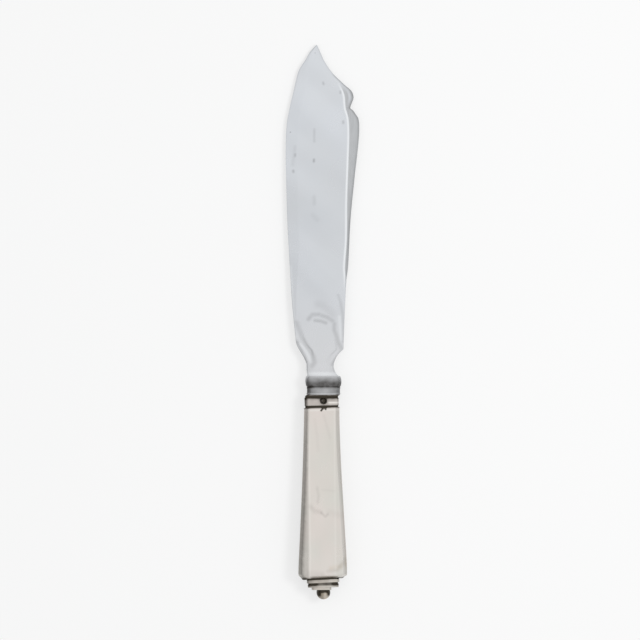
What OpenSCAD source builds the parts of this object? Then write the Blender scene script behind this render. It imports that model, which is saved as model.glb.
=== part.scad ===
// Fish serving knife: a forged steel blade cemented into a hollow silver handle.
// The knife is built along its own axis, with y = 0 where the bolster meets the handle, and is then
// laid down on the flat back of its handle.

/* [Blade] */
// Length of the blade, from the bolster to the tip
blade_len = 161.4; // [130:0.1:190]
// Widest reach of the blade to each side of the axis
blade_reach = 17.9; // [15:0.1:21]
// Thickness of the blade at its heel
heel_thick = 2.6; // [2:0.1:3.2]
// Thickness of the blade at its tip
tip_thick = 1; // [0.7:0.05:1.4]
// Thickness left along the blunt cutting edge
edge_thick = 0.6; // [0.4:0.05:0.8]
// Width of the ground bevel along the cutting edge, at its widest
edge_bevel_w = 5.4; // [3:0.1:5.6]
// Thickness left along the ground back
back_thick = 0.8; // [0.5:0.05:1]
// Width of the blunt end of the tip
tip_w = 0.5; // [0.3:0.05:1]
// How far the tip stands from the axis, towards the cutting edge
tip_shift = 2.9; // [0:0.1:6]

/* [Neck] */
// Side of the neck under the cutting edge, from the axis
neck_edge_side = 7.9; // [6.8:0.1:8.2]
// Side of the neck under the back, from the axis
neck_back_side = 5.4; // [4.6:0.1:6.4]
// Thickness of the neck in its middle
neck_thick = 4.8; // [4:0.1:5.6]
// Thickness of the neck along its sides
neck_side_thick = 2.8; // [2.2:0.1:3.4]
// Thickness of the neck where it runs into the bolster
neck_foot_thick = 7.2; // [6.2:0.1:7.8]

/* [Bolster and tang] */
// Length of the rounded cushion moulding
cushion_len = 5.2; // [4:0.1:6.4]
// Width of the cushion moulding
cushion_w = 17.5; // [16.8:0.1:19]
// Thickness of the cushion moulding
cushion_thick = 9.6; // [8.8:0.1:9.7]
// Length of the ribbed band under the cushion
band_len = 4; // [3:0.1:5]
// Width of the ribbed band
band_w = 16; // [15:0.1:16.4]
// Thickness of the ribbed band
band_thick = 8.4; // [7.6:0.1:8.6]
// Half height and rise of the two ribs on the band
rib_r = 0.4; // [0.2:0.05:0.5]
// Corner radius of the bolster
bolster_corner_r = 1.6; // [0.8:0.1:2.2]
// Length of the tang behind the bolster
tang_len = 62; // [40:1:72]
// Width of the tang at the bolster
tang_w = 7.2; // [6:0.1:8]
// Thickness of the tang at the bolster
tang_thick = 3.2; // [2.6:0.1:3.6]
// Width of the tang at its end
tang_end_w = 4.6; // [3.6:0.1:5.6]
// Thickness of the tang at its end
tang_end_thick = 2.2; // [1.6:0.1:2.6]
// Depth of the notches that key the tang into the cement
notch_depth = 0.7; // [0.4:0.05:0.9]

/* [Collar] */
// Length of the collar between the bolster and the handle shells
collar_len = 6.2; // [5.6:0.1:7.4]
// How far the collar lies inside the faces of the handle
collar_inset = 0.5; // [0.4:0.05:0.6]
// Width of the dark groove at each end of the collar
groove_w = 1; // [0.6:0.05:1.2]
// Depth of those grooves below the collar
groove_depth = 0.3; // [0.2:0.05:0.35]
// Length of the spigot that locates the collar in the shells
spigot_len = 2; // [1.4:0.1:4]
// Width of the steep facet along each edge of the collar
collar_facet_w = 0.8; // [0.4:0.1:1]
// Radius of the bead on each face
bead_r = 1.4; // [1:0.05:1.5]
// Gap round each bead in its pocket
bead_gap = 0.3; // [0.15:0.05:0.35]
// Depth of the pocket that each bead is set in
pocket_depth = 0.6; // [0.4:0.05:0.7]
// Height of each bead above the floor of its pocket
bead_height = 1.05; // [0.8:0.05:1.05]

/* [Handle shells] */
// Length of the shells, with their shoulder
shell_len = 83.4; // [76:0.1:96]
// Width of the handle at the bolster
handle_top_w = 17.2; // [16.8:0.1:19]
// Width of the handle above its shoulder
handle_base_w = 23.7; // [21:0.1:26]
// Thickness of the handle at the bolster
handle_top_thick = 10; // [9.9:0.1:10.6]
// Thickness of the handle above its shoulder
handle_base_thick = 13.4; // [12:0.1:14.4]
// Wall of the shells
wall = 1.1; // [1:0.05:1.3]
// Length of the sloping shoulder at the base
shoulder_len = 3.3; // [2.4:0.1:4]
// Width of the handle below its shoulder
shoulder_end_w = 17.8; // [16.8:0.1:19]
// Thickness of the handle below its shoulder
shoulder_end_thick = 8.8; // [8.4:0.1:9.6]
// Width of the flat face between the facets along its long edges
face_w = 12.6; // [11:0.1:13.4]
// Slope of the shallow facets beside the face, in degrees
face_slope = 10; // [6:0.5:14]
// Width of the steep facet along each long edge, seen from the front
side_facet_w = 1.8; // [1.2:0.1:2]
// Slope of the steep facets, in degrees
side_slope = 40; // [34:1:46]
// Half the space between the two teeth under the collar
tooth_space = 0.9; // [0.6:0.05:1.2]
// Width of each tooth under the collar
tooth_w = 0.6; // [0.4:0.05:0.9]
// Length of each tooth under the collar
tooth_len = 1.7; // [1:0.1:2.4]
// Depth of each tooth
tooth_depth = 0.35; // [0.2:0.05:0.5]

/* [Base steps and ball] */
// Height of the sunk neck above each step
step_neck_len = 0.7; // [0.4:0.05:1]
// How far each sunk neck lies inside its step
step_neck_inset = 0.7; // [0.4:0.05:0.9]
// Height of the first step
first_step_len = 1.5; // [1:0.1:2.4]
// Width of the first step
first_step_w = 15.7; // [14.4:0.1:16.6]
// Thickness of the first step
first_step_thick = 8; // [7.8:0.1:8.4]
// Height of the second step
second_step_len = 1.2; // [1:0.1:2]
// Width of the second step
second_step_w = 15; // [13.4:0.1:15.6]
// Thickness of the second step
second_step_thick = 7.6; // [7.2:0.1:7.8]
// Height of the boss under the second step
boss_len = 1; // [0.8:0.1:1.8]
// Width of that boss
boss_w = 9.6; // [8.6:0.1:11]
// Thickness of that boss
boss_thick = 7; // [6.8:0.1:7.1]
// Chamfer on the corners of the steps
step_corner = 0.8; // [0.3:0.05:1.2]
// Radius of the ball at the end
ball_r = 3.36; // [2.8:0.02:3.4]
// How deep the ball is let into the second step's face, as cut off its top
ball_seat = 2; // [1.2:0.05:2.2]
// Radius of the peg that carries the ball
peg_r = 1; // [0.7:0.05:1.3]
// Length of the peg above the ball's seat
peg_len = 8; // [7.6:0.1:9]

/* [Fits] */
// Clearance all round between pieces that seat in one another
fit_gap = 0.05; // [0.03:0.01:0.1]

/* [Hidden] */
$fn = 64;

// Cuts and slabs reach this far past what they cut
overrun = handle_base_w;

// Heights along the axis
bolster_len = band_len + cushion_len;
shell_top = -collar_len;
shell_end = shell_top - shell_len;
shoulder_top = shell_end + shoulder_len;
first_step_top = shell_end;
second_step_top = first_step_top - step_neck_len - first_step_len;
boss_top = second_step_top - step_neck_len - second_step_len;
ball_seat_y = boss_top - boss_len;
ball_centre_y = ball_seat_y - (ball_r - ball_seat);
tip_y = bolster_len + blade_len;
end_y = ball_centre_y - ball_r;

// The blade's lines: each point is a share of the blade's length above the bolster, then a share of
// the reach, out from the axis
edge_shares = [
    [0.0542, 0.503], [0.0723, 0.598], [0.0934, 0.702], [0.1236, 0.743], [0.229, 0.835], [0.35, 0.9],
    [0.47, 0.958], [0.59, 0.988], [0.68, 1], [0.76, 0.973], [0.814, 0.885], [0.862, 0.784],
    [0.917, 0.665], [0.935, 0.59], [0.953, 0.476], [0.977, 0.354]
];
shoulder_shares = [
    [0.08, 0.569], [0.17, 0.596], [0.289, 0.65], [0.32, 0.688], [0.35, 0.708], [0.47, 0.762],
    [0.59, 0.865], [0.712, 0.985], [0.757, 1], [0.778, 0.975], [0.79, 0.908], [0.802, 0.832],
    [0.808, 0.755]
];
scroll_shares = [
    [0.808, 0.755], [0.8145, 0.762], [0.8265, 0.805], [0.8386, 0.843], [0.8507, 0.832],
    [0.8627, 0.775], [0.881, 0.585], [0.917, 0.26], [0.953, 0.042], [0.977, -0.055]
];
// The ridge line of the ground back, out from the axis
ridge_shares = [
    [0.25, 0.632], [0.298, 0.628], [0.33, 0.615], [0.41, 0.665], [0.53, 0.675], [0.65, 0.712],
    [0.73, 0.732], [0.778, 0.71], [0.81, 0.635], [0.85, 0.597], [0.881, 0.476], [0.895, 0.427]
];
// The heel's sweep from the neck to its corner, and the neck's flare into the bolster: the second
// share runs from the neck's side out to the heel's corner or to the bolster
heel_shares = [[0.036, 0.02], [0.0452, 0.1], [0.0542, 0.245], [0.0633, 0.42], [0.0723, 0.7], [0.08, 1]];
flare_out_shares = [[0, 1], [0.006, 0.6], [0.018, 0.15]];
neck_share = 0.027;
root_share = -0.01;
foot_side_share = 0.97;
foot_round_share = 0.7;
heel_corner_share = 0.08;
notch_share = 0.808;
ridge_start_share = 0.25;
ridge_end_share = 0.895;
tongue_end_share = 0.19;
// The steel tongue in the heel: its sides as shares of the blade's width
tongue_left_shares = [[0.04, 0.3], [0.07, 0.28], [0.1, 0.18], [0.13, 0.13], [0.16, 0.1], [0.19, 0.08]];
tongue_right_shares = [[0.04, 0.75], [0.07, 0.86], [0.1, 0.86], [0.13, 0.82], [0.19, 0.8]];
tongue_ramp_share = 0.05;
// How the bevel along the cutting edge widens from the heel, as a share of its greatest width
bevel_shares = [[0.08, 0.25], [0.19, 0.3], [0.4, 1]];
// Least space between two lines on the blade, as a share of its width
least_share = 0.02;
// How the thickness falls from the neck to the flat of the blade
tongue_fall_shares = [[0.036, 1], [0.055, 0.62], [0.08, 0.38], [0.12, 0.2], [0.16, 0.1], [0.19, 0]];
// Stations along the blade, and the number of sections in each stretch between them
stop_shares = [0, 0.036, 0.08, 0.19, 0.32, 0.757, 0.808, 0.881, 1];
stop_steps = [6, 6, 9, 5, 16, 9, 9, 12];
// Places and heights of the eight points across a section of the neck, as shares of its width and of
// the difference between its middle and its sides
neck_across_shares = [0, 0.05, 0.17, 0.34, 0.66, 0.83, 0.95, 1];
neck_rise_shares = [0, 0.42, 0.8, 1, 1, 0.8, 0.42, 0];

// How the handle widens from the bolster to its shoulder
flare_shares = [[0, 0], [0.14, 0.02], [0.37, 0.2], [0.6, 0.485], [0.82, 0.785], [0.94, 0.95], [1, 1]];
flare_steps = 16;
// Places of the notch pairs along the tang
notch_place_shares = [0.35, 0.55, 0.75];

// Helpers for curves through a list of [place, value] points
function mix(a, b, t) = a + (b - a) * t;
function clamp(v, low, high) = min(max(v, low), high);
function tilt_at(list, i) =
    let (before = list[max(i - 1, 0)], after = list[min(i + 1, len(list) - 1)])
    (after[1] - before[1]) / (after[0] - before[0]);
function span_of(list, x) = clamp(len([for (p = list) if (p[0] <= x) 1]) - 1, 0, len(list) - 2);
function curve_at(list, x) =
    let (
        i = span_of(list, x),
        a = list[i],
        b = list[i + 1],
        wide = b[0] - a[0],
        t = clamp((x - a[0]) / wide, 0, 1)
    )
    a[1] * (1 + 2 * t) * (1 - t) ^ 2 + b[1] * t * t * (3 - 2 * t)
    + tilt_at(list, i) * wide * t * (1 - t) ^ 2 - tilt_at(list, i + 1) * wide * t * t * (1 - t);
function eased(t) = let (c = clamp(t, 0, 1)) c * c * (3 - 2 * c);

// The blade's two lines at a share of its length, as distances from the axis
tip_edge_side = tip_shift + tip_w / 2;
tip_back_side = tip_w / 2 - tip_shift;
bolster_edge_side = band_w / 2 * foot_side_share;
bolster_back_side = bolster_edge_side - (neck_edge_side - neck_back_side) / 8;
heel_corner_side = shoulder_shares[0][1] * blade_reach;
function scaled(list, size) = [for (p = list) [p[0], p[1] * size]];
edge_line = concat(
    [[0, bolster_edge_side], [0.018, neck_edge_side], [0.036, neck_edge_side]],
    scaled(edge_shares, blade_reach),
    [[1, tip_edge_side]]
);
shoulder_line = scaled(shoulder_shares, blade_reach);
scroll_line = concat(scaled(scroll_shares, blade_reach), [[1, tip_back_side]]);
neck_line = concat(
    [for (p = flare_out_shares) [p[0], mix(neck_back_side, bolster_back_side, p[1])]],
    [[neck_share, neck_back_side]],
    [for (p = heel_shares) [p[0], mix(neck_back_side, heel_corner_side, p[1])]]
);
ridge_line = scaled(ridge_shares, blade_reach);
function edge_side(s) = curve_at(edge_line, s);
function back_side(s) =
    s < heel_corner_share ? curve_at(neck_line, s)
    : s < notch_share ? curve_at(shoulder_line, s)
    : curve_at(scroll_line, s);
function ridge_side(s) =
    s < ridge_start_share || s > ridge_end_share ? back_side(s) : min(curve_at(ridge_line, s), back_side(s));

// Thicknesses along the blade
function flat_thick(s) = mix(heel_thick, tip_thick, s);
function tongue_thick(s) =
    s < neck_share ? mix(neck_foot_thick, neck_thick, eased(s / neck_share) ^ 0.5)
    : mix(flat_thick(s), neck_thick, s > tongue_end_share ? 0 : curve_at(tongue_fall_shares, s));
function side_thick(s, thin) =
    s < neck_share ? mix(neck_foot_thick * foot_round_share, neck_side_thick, eased(s / neck_share) ^ 0.5)
    : mix(neck_side_thick, thin, eased((s - neck_share) / (heel_corner_share - neck_share)));
function ground_back_thick(s) =
    let (
        start = eased((s - ridge_start_share) / (0.32 - ridge_start_share)),
        end = eased((ridge_end_share - s) / (ridge_end_share - 0.85))
    )
    mix(flat_thick(s), min(back_thick, flat_thick(s)), min(start, end));

// One section across the blade: its upper half from the cutting edge to the back, then its lower half
function blade_point(s, k) =
    let (
        left = -edge_side(s),
        right = back_side(s),
        wide = right - left,
        least = wide * least_share,
        bevel = min(edge_bevel_w * curve_at(bevel_shares, s), wide / 5),
        ramp = wide * tongue_ramp_share,
        tongue_left = left + max(bevel + least, wide * curve_at(tongue_left_shares, s)),
        tongue_right = left + wide * curve_at(tongue_right_shares, s),
        ridge = clamp(ridge_side(s), tongue_right + least, right - least)
    )
    k == 0 ? [left, edge_thick]
    : k == 1 ? [left + bevel, flat_thick(s)]
    : k == 2 ? [tongue_left, flat_thick(s)]
    : k == 3 ? [tongue_left + ramp, tongue_thick(s)]
    : k == 4 ? [tongue_right - ramp, tongue_thick(s)]
    : k == 5 ? [tongue_right, flat_thick(s)]
    : k == 6 ? [ridge, flat_thick(s)]
    : [right, ground_back_thick(s)];
function neck_point(s, k) =
    let (
        left = -edge_side(s),
        wide = back_side(s) - left,
        thin = side_thick(s, edge_thick)
    )
    [left + wide * neck_across_shares[k], mix(thin, tongue_thick(s), neck_rise_shares[k])];
function section(s) =
    let (
        blend = eased((heel_corner_share - s) / (heel_corner_share - neck_share)),
        upper = [for (k = [0 : 7]) mix(blade_point(s, k), neck_point(s, k), blend)]
    )
    concat(
        [for (p = upper) [p[0], bolster_len + s * blade_len, p[1] / 2]],
        [for (k = [7 : -1 : 0]) [upper[k][0], bolster_len + s * blade_len, -upper[k][1] / 2]]
    );
stations = concat(
    [root_share],
    [for (i = [0 : len(stop_steps) - 1]) for (k = [0 : stop_steps[i] - 1])
        mix(stop_shares[i], stop_shares[i + 1], k / stop_steps[i])],
    [1]
);

// A closed skin through a list of rings that run the same way round, over the top and back below
module loft(rings) {
    n = len(rings[0]);
    last = len(rings) - 1;
    polyhedron(
        points = [for (ring = rings) each ring],
        faces = concat(
            [for (k = [0 : n / 2 - 2]) each [[k, k + 1, n - 2 - k], [k, n - 2 - k, n - 1 - k]]],
            [for (i = [0 : last - 1]) for (k = [0 : n - 1]) each [
                [i * n + k, (i + 1) * n + k, (i + 1) * n + (k + 1) % n],
                [i * n + k, (i + 1) * n + (k + 1) % n, i * n + (k + 1) % n]
            ]],
            [for (k = [0 : n / 2 - 2]) let (m = last * n) each [
                [m + k, m + n - 2 - k, m + k + 1], [m + k, m + n - 1 - k, m + n - 2 - k]
            ]]
        )
    );
}

// A ring round the bolster: a rectangle with round corners
corner_steps = 5;
function bolster_ring(y, half_w, half_thick) =
    [for (corner = [0 : 3]) for (i = [0 : corner_steps])
        let (
            turn = 180 - corner * 90 - i * 90 / corner_steps,
            side = corner == 0 || corner == 3 ? -1 : 1,
            face = corner < 2 ? 1 : -1
        )
        [
            side * (half_w - bolster_corner_r) + bolster_corner_r * cos(turn),
            y,
            face * (half_thick - bolster_corner_r) + bolster_corner_r * sin(turn)
        ]];
// The bolster's outline from the handle up: [height, how far it stands out of the band]
cushion_rise = (cushion_w - band_w) / 2;
cushion_steps = 10;
rib_places = [rib_r + band_len / 20, band_len - rib_r - band_len / 20];
rib_steps = 4;
bolster_profile = concat(
    [[0, 0]],
    [for (place = rib_places) for (i = [0 : rib_steps])
        let (turn = 180 - i * 180 / rib_steps)
        [place + rib_r * cos(turn), rib_r * sin(turn) / 2]],
    [for (i = [0 : cushion_steps])
        let (turn = 180 - i * 180 / cushion_steps)
        [band_len + cushion_len * (1 + cos(turn)) / 2, cushion_rise * sin(turn)]]
);

module bolster() {
    loft([for (p = bolster_profile) bolster_ring(p[0], band_w / 2 + p[1], band_thick / 2 + p[1]
        * (cushion_thick - band_thick) / (cushion_w - band_w))]);
}

// A bar that tapers to its end, along -y from the bolster
module tang_bar(gap) {
    half_w = tang_w / 2 + gap;
    end_half_w = tang_end_w / 2 + gap;
    half_thick = tang_thick / 2 + gap;
    end_half_thick = tang_end_thick / 2 + gap;
    far = -tang_len - gap;
    intersection() {
        linear_extrude(height = overrun, center = true)
            polygon([[half_w, band_len / 2], [-half_w, band_len / 2], [-end_half_w, far], [end_half_w, far]]);
        rotate([0, -90, 0]) linear_extrude(height = overrun, center = true)
            polygon([
                [half_thick, band_len / 2], [-half_thick, band_len / 2],
                [-end_half_thick, far], [end_half_thick, far]
            ]);
    }
}

module tang_notches() {
    for (place = notch_place_shares) for (side = [-1, 1])
        translate([side * mix(tang_w, tang_end_w, place) / 2, -tang_len * place, 0])
            cylinder(r = notch_depth, h = overrun, center = true);
}

// Half sizes of the handle at a height along the axis
body_len = -shoulder_top;
function handle_share(y) = clamp(-y / body_len, 0, 1);
function body_half_w(y) = mix(handle_top_w, handle_base_w, curve_at(flare_shares, handle_share(y))) / 2;
function body_half_thick(y) = mix(handle_top_thick, handle_base_thick, handle_share(y)) / 2;

// How far a facet's plane lies from the axis, square to itself: a plane that slopes by the given
// angle through a point out from the axis and up from it
function facet_reach(slope, out, up) = out * sin(slope) + up * cos(slope);
function shallow_reach(half_thick, inset) = facet_reach(face_slope, face_w / 2, half_thick) - inset;
function steep_reach(half_w, half_thick, facet_w, inset) =
    let (out = half_w - facet_w, up = half_thick - (out - face_w / 2) * tan(face_slope))
    facet_reach(side_slope, out, up) - inset;

// Outlines of the handle: each row is [height, half width, half thickness], from the top down
handle_rows = concat(
    [for (i = [0 : flare_steps])
        let (y = shoulder_top * i / flare_steps)
        [y, body_half_w(y), body_half_thick(y)]],
    [[shell_end, shoulder_end_w / 2, shoulder_end_thick / 2]]
);
// The flat faces of the handle need only the rows where their slope changes
face_rows = [for (i = [0, flare_steps, flare_steps + 1]) handle_rows[i]];
function both_sides(line) = concat(line, [for (i = [len(line) - 1 : -1 : 0]) [-line[i][0], line[i][1]]]);

// A solid whose outline is given as [half width, height] from the top down, cut right through the knife
module cut_through(line) {
    linear_extrude(height = 2 * overrun, center = true) polygon(both_sides(line));
}

// The handle's form with all its faces moved in by inset, and its end moved up by as much
module handle_form(inset, facet_w = side_facet_w) {
    intersection() {
        cut_through([for (r = handle_rows) [r[1] - inset, r[0]]]);
        rotate([0, -90, 0]) cut_through([for (r = face_rows) [r[2] - inset, r[0]]]);
        for (side = [-1, 1]) rotate([0, side * (90 - side_slope), 0])
            cut_through([for (r = handle_rows) [steep_reach(r[1], r[2], facet_w, inset), r[0]]]);
        for (side = [-1, 1]) rotate([0, side * (90 - face_slope), 0])
            cut_through([for (r = face_rows) [shallow_reach(r[2], inset), r[0]]]);
        slab(shell_end + inset, 0);
    }
}

// A slab across the whole knife between two heights
module slab(low, high) {
    translate([-overrun, low, -overrun]) cube([2 * overrun, high - low, 2 * overrun]);
}

// The half of the space on one face of the knife
module face_side(side) {
    translate([-overrun, -overrun * 8, side > 0 ? 0 : -overrun])
        cube([2 * overrun, overrun * 16, overrun]);
}

module teeth(side) {
    face = body_half_thick(shell_top);
    for (hand = [-1, 1])
        translate([
            hand > 0 ? tooth_space : -tooth_space - tooth_w,
            shell_top - tooth_len,
            side > 0 ? face - tooth_depth : -face - overrun + tooth_depth
        ])
            cube([tooth_w, tooth_len + overrun, overrun]);
}

module peg_bore() {
    translate([0, ball_seat_y + peg_len + fit_gap, 0]) rotate([90, 0, 0])
        cylinder(r = peg_r + fit_gap, h = peg_len + overrun);
}

module handle_shell(side) {
    difference() {
        intersection() {
            handle_form(0);
            slab(shell_end - overrun, shell_top);
            face_side(side);
        }
        intersection() {
            handle_form(wall);
            slab(shell_end - overrun, shell_top + overrun);
        }
        peg_bore();
        teeth(side);
    }
}

// The pocket of a bead lies at the middle of the collar's plain band
bead_y = -collar_len / 2;
pocket_floor = body_half_thick(bead_y) - collar_inset - pocket_depth;
module bead_pocket(side) {
    mirror([0, 0, side > 0 ? 0 : 1]) translate([0, bead_y, pocket_floor])
        cylinder(r = bead_r + bead_gap, h = overrun);
}
module bead(side) {
    mirror([0, 0, side > 0 ? 0 : 1]) translate([0, bead_y, pocket_floor]) intersection() {
        translate([0, 0, bead_height - bead_r]) sphere(r = bead_r);
        translate([-overrun / 2, -overrun / 2, 0]) cube(overrun);
    }
}

// A plate with cut corners between two heights
module plate(high, low, wide, thick) {
    half_w = wide / 2;
    half_thick = thick / 2;
    translate([0, high, 0]) rotate([90, 0, 0]) linear_extrude(height = high - low)
        polygon([
            [half_w, half_thick - step_corner], [half_w - step_corner, half_thick],
            [step_corner - half_w, half_thick], [-half_w, half_thick - step_corner],
            [-half_w, step_corner - half_thick], [step_corner - half_w, -half_thick],
            [half_w - step_corner, -half_thick], [half_w, step_corner - half_thick]
        ]);
}

// A step: a sunk neck at its top and a plate under that
module step(top_y, len, wide, thick) {
    low = top_y - step_neck_len - len;
    plate(top_y, low, wide - 2 * step_neck_inset, thick - 2 * step_neck_inset);
    plate(top_y - step_neck_len, low, wide, thick);
}

// Lays the knife down on the back of its handle, with the middle of its length over the origin
lay_turn = atan((handle_base_thick - handle_top_thick) / 2 / body_len);
lay_rise = handle_top_thick / 2 * cos(lay_turn);
lay_shift = -(tip_y * cos(lay_turn) + ball_centre_y * cos(lay_turn) - ball_r) / 2;
module laid() {
    translate([0, lay_shift, lay_rise]) rotate([-lay_turn, 0, 0]) children();
}

module blade() {
    color("lightsteelblue") laid() union() {
        loft([for (s = stations) section(s)]);
        bolster();
        difference() {
            tang_bar(0);
            tang_notches();
        }
    }
}

module collar() {
    color("lightgray") laid() difference() {
        union() {
            intersection() {
                handle_form(collar_inset + groove_depth, collar_facet_w);
                slab(shell_top, 0);
            }
            intersection() {
                handle_form(collar_inset, collar_facet_w);
                slab(shell_top + groove_w, -groove_w);
            }
            intersection() {
                handle_form(wall + fit_gap);
                slab(shell_top - spigot_len, shell_top + groove_w / 2);
            }
        }
        tang_bar(fit_gap);
        bead_pocket(1);
        bead_pocket(-1);
    }
}

module handle_front() {
    color("gainsboro") laid() handle_shell(1);
}

module handle_back() {
    color("gainsboro") laid() handle_shell(-1);
}

module filling_cement() {
    color("dimgray") laid() difference() {
        intersection() {
            handle_form(wall + fit_gap);
            slab(shell_end - overrun, shell_top - spigot_len - fit_gap);
        }
        tang_bar(fit_gap);
        peg_bore();
    }
}

module front_bead() {
    color("silver") laid() bead(1);
}

module back_bead() {
    color("silver") laid() bead(-1);
}

module first_step() {
    color("gainsboro") laid() difference() {
        step(first_step_top, first_step_len, first_step_w, first_step_thick);
        peg_bore();
    }
}

module second_step() {
    color("gainsboro") laid() difference() {
        union() {
            step(second_step_top, second_step_len, second_step_w, second_step_thick);
            plate(boss_top + second_step_len / 2, ball_seat_y, boss_w, boss_thick);
        }
        peg_bore();
    }
}

module ball_finial() {
    color("silver") laid() union() {
        intersection() {
            translate([0, ball_centre_y, 0]) sphere(r = ball_r);
            slab(end_y - overrun, ball_seat_y);
        }
        translate([0, ball_seat_y + peg_len, 0]) rotate([90, 0, 0])
            cylinder(r = peg_r, h = peg_len + ball_r / 2);
    }
}

blade();
collar();
handle_front();
handle_back();
filling_cement();
front_bead();
back_bead();
first_step();
second_step();
ball_finial();
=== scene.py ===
"""Looks of a fish serving knife: a forged steel blade cemented into a hollow silver handle.

Sizes are in millimetres along the knife's own axis, with y = 0 where the bolster meets the handle,
x to the back of the blade and z to the front face. laid() puts a point into the frame, in metres."""
from math import asin, atan, ceil, copysign, cos, dist, hypot, pi, radians, sin, sqrt, tan

import bmesh
import bpy
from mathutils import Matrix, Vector


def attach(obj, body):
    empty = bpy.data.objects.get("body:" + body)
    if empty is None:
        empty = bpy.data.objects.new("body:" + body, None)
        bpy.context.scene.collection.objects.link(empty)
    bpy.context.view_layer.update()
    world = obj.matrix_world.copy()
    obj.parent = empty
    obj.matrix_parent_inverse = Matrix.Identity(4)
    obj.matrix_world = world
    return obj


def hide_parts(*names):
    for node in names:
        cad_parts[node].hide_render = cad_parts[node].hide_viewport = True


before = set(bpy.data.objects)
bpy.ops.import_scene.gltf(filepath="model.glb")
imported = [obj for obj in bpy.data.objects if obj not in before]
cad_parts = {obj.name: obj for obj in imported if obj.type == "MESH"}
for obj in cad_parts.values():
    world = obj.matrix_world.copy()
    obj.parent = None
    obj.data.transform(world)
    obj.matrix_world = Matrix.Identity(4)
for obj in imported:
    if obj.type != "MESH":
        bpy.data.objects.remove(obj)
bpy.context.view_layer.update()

MM = 0.001

# Blade and neck
BLADE_LEN = 161.4
BLADE_REACH = 17.9
HEEL_THICK = 2.6
TIP_THICK = 1.0
EDGE_THICK = 0.6
HEEL_EDGE_THICK = 1.8
EDGE_BEVEL_W = 5.4
BACK_THICK = 0.8
TIP_W = 0.5
TIP_SHIFT = 2.9
NECK_EDGE_SIDE = 7.9
NECK_BACK_SIDE = 5.4
NECK_THICK = 4.8
NECK_SIDE_THICK = 2.8
NECK_FOOT_THICK = 7.2

# Bolster and tang
CUSHION_LEN = 5.2
CUSHION_W = 17.5
CUSHION_THICK = 9.6
BAND_LEN = 4.0
BAND_W = 16.0
BAND_THICK = 8.4
RIB_R = 0.4
BOLSTER_CORNER = 1.6
TANG_LEN = 62.0
TANG_W = 7.2
TANG_THICK = 3.2
TANG_END_W = 4.6
TANG_END_THICK = 2.2

# Collar and beads
COLLAR_LEN = 6.2
COLLAR_INSET = 0.3
GROOVE_W = 1.0
GROOVE_DEPTH = 0.3
SPIGOT_LEN = 2.0
COLLAR_FACET_W = 0.8
BEAD_R = 1.4
BEAD_GAP = 0.3
POCKET_DEPTH = 0.8
BEAD_HEIGHT = 1.05

# Handle
SHELL_LEN = 83.4
TOP_W = 17.2
BASE_W = 23.7
TOP_THICK = 10.0
BASE_THICK = 13.4
WALL = 1.1
SHOULDER_LEN = 3.3
SHOULDER_END_W = 17.8
SHOULDER_END_THICK = 8.8
FACE_W = 12.6
FACE_SLOPE = radians(10)
FACET_W = 1.8
SIDE_SLOPE = radians(40)
TOOTH_LEN = 1.7
TOOTH_DEPTH = 0.35

# Steps and ball
STEP_NECK_LEN = 0.7
STEP_NECK_INSET = 0.3
STEP_CORNER = 0.8
FIRST_STEP = (1.5, 15.7, 8.0)
SECOND_STEP = (1.2, 15.0, 7.6)
BOSS = (1.0, 9.6, 7.0)
BALL_R = 3.36
BALL_SEAT = 2.0
PEG_R = 1.0
PEG_LEN = 8.0
FIT_GAP = 0.05

# Heights along the axis
BOLSTER_LEN = BAND_LEN + CUSHION_LEN
SHELL_TOP = -COLLAR_LEN
SHELL_END = SHELL_TOP - SHELL_LEN
SHOULDER_TOP = SHELL_END + SHOULDER_LEN
FIRST_TOP = SHELL_END
SECOND_TOP = FIRST_TOP - STEP_NECK_LEN - FIRST_STEP[0]
BOSS_TOP = SECOND_TOP - STEP_NECK_LEN - SECOND_STEP[0]
BALL_SEAT_Y = BOSS_TOP - BOSS[0]
BALL_Y = BALL_SEAT_Y - (BALL_R - BALL_SEAT)
TIP_Y = BOLSTER_LEN + BLADE_LEN
BEAD_X = 0.85
BEAD_Y = 0.3 - COLLAR_LEN / 2

# The lay of the knife on the flat back of its handle
LAY_TURN = atan((BASE_THICK - TOP_THICK) / 2 / -SHOULDER_TOP)
TURN_COS, TURN_SIN = cos(LAY_TURN), sin(LAY_TURN)
LAY_RISE = TOP_THICK / 2 * TURN_COS
LAY_SHIFT = -((TIP_Y + BALL_Y) * TURN_COS - BALL_R) / 2


# The knife's lower half sits a little askew: (height, slope across the knife, shift to the back, rise)
ASKEW = [
    (-96, 0, 0.45, 0), (-94.7, 0, 0.45, 0), (-93.7, 0.02, 0.4, 0.3), (-92.5, 0.03, 0.35, 0.6),
    (-91.8, 0.05, 0.3, 0.62), (-90.3, 0.05, 0.2, 0.8), (-89.6, 0.05, 0.15, 0.8),
    (-86.3, 0, 0.1, -0.8), (-80, 0, 0.1, 0), (-70, 0, 0.05, 0), (-51, 0, -0.1, 0),
    (-32, 0, -0.3, 0), (-14, 0, -0.38, 0), (-6.2, 0.035, -0.38, 0), (-4.4, 0.01, -0.38, 0),
    (-0.3, 0, -0.38, 0), (-0.05, 0, 0.38, 0), (8.5, 0, 0.38, 0), (12, 0, 0.1, 0), (18, 0, 0, 0),
]
# The corners of the handle's end hang down: how far, from which x, and how far that reaches above and below
DROOP = 0.6
DROOP_X = 4.5
DROOP_ABOVE = 1.6
DROOP_BELOW = 0.6


def askew_at(y):
    """How askew the knife is at a height: slope, shift and rise."""
    place = clamp(y, ASKEW[0][0], ASKEW[-1][0])
    return [curve_at([(row[0], row[k]) for row in ASKEW], place) for k in (1, 2, 3)]


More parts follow.
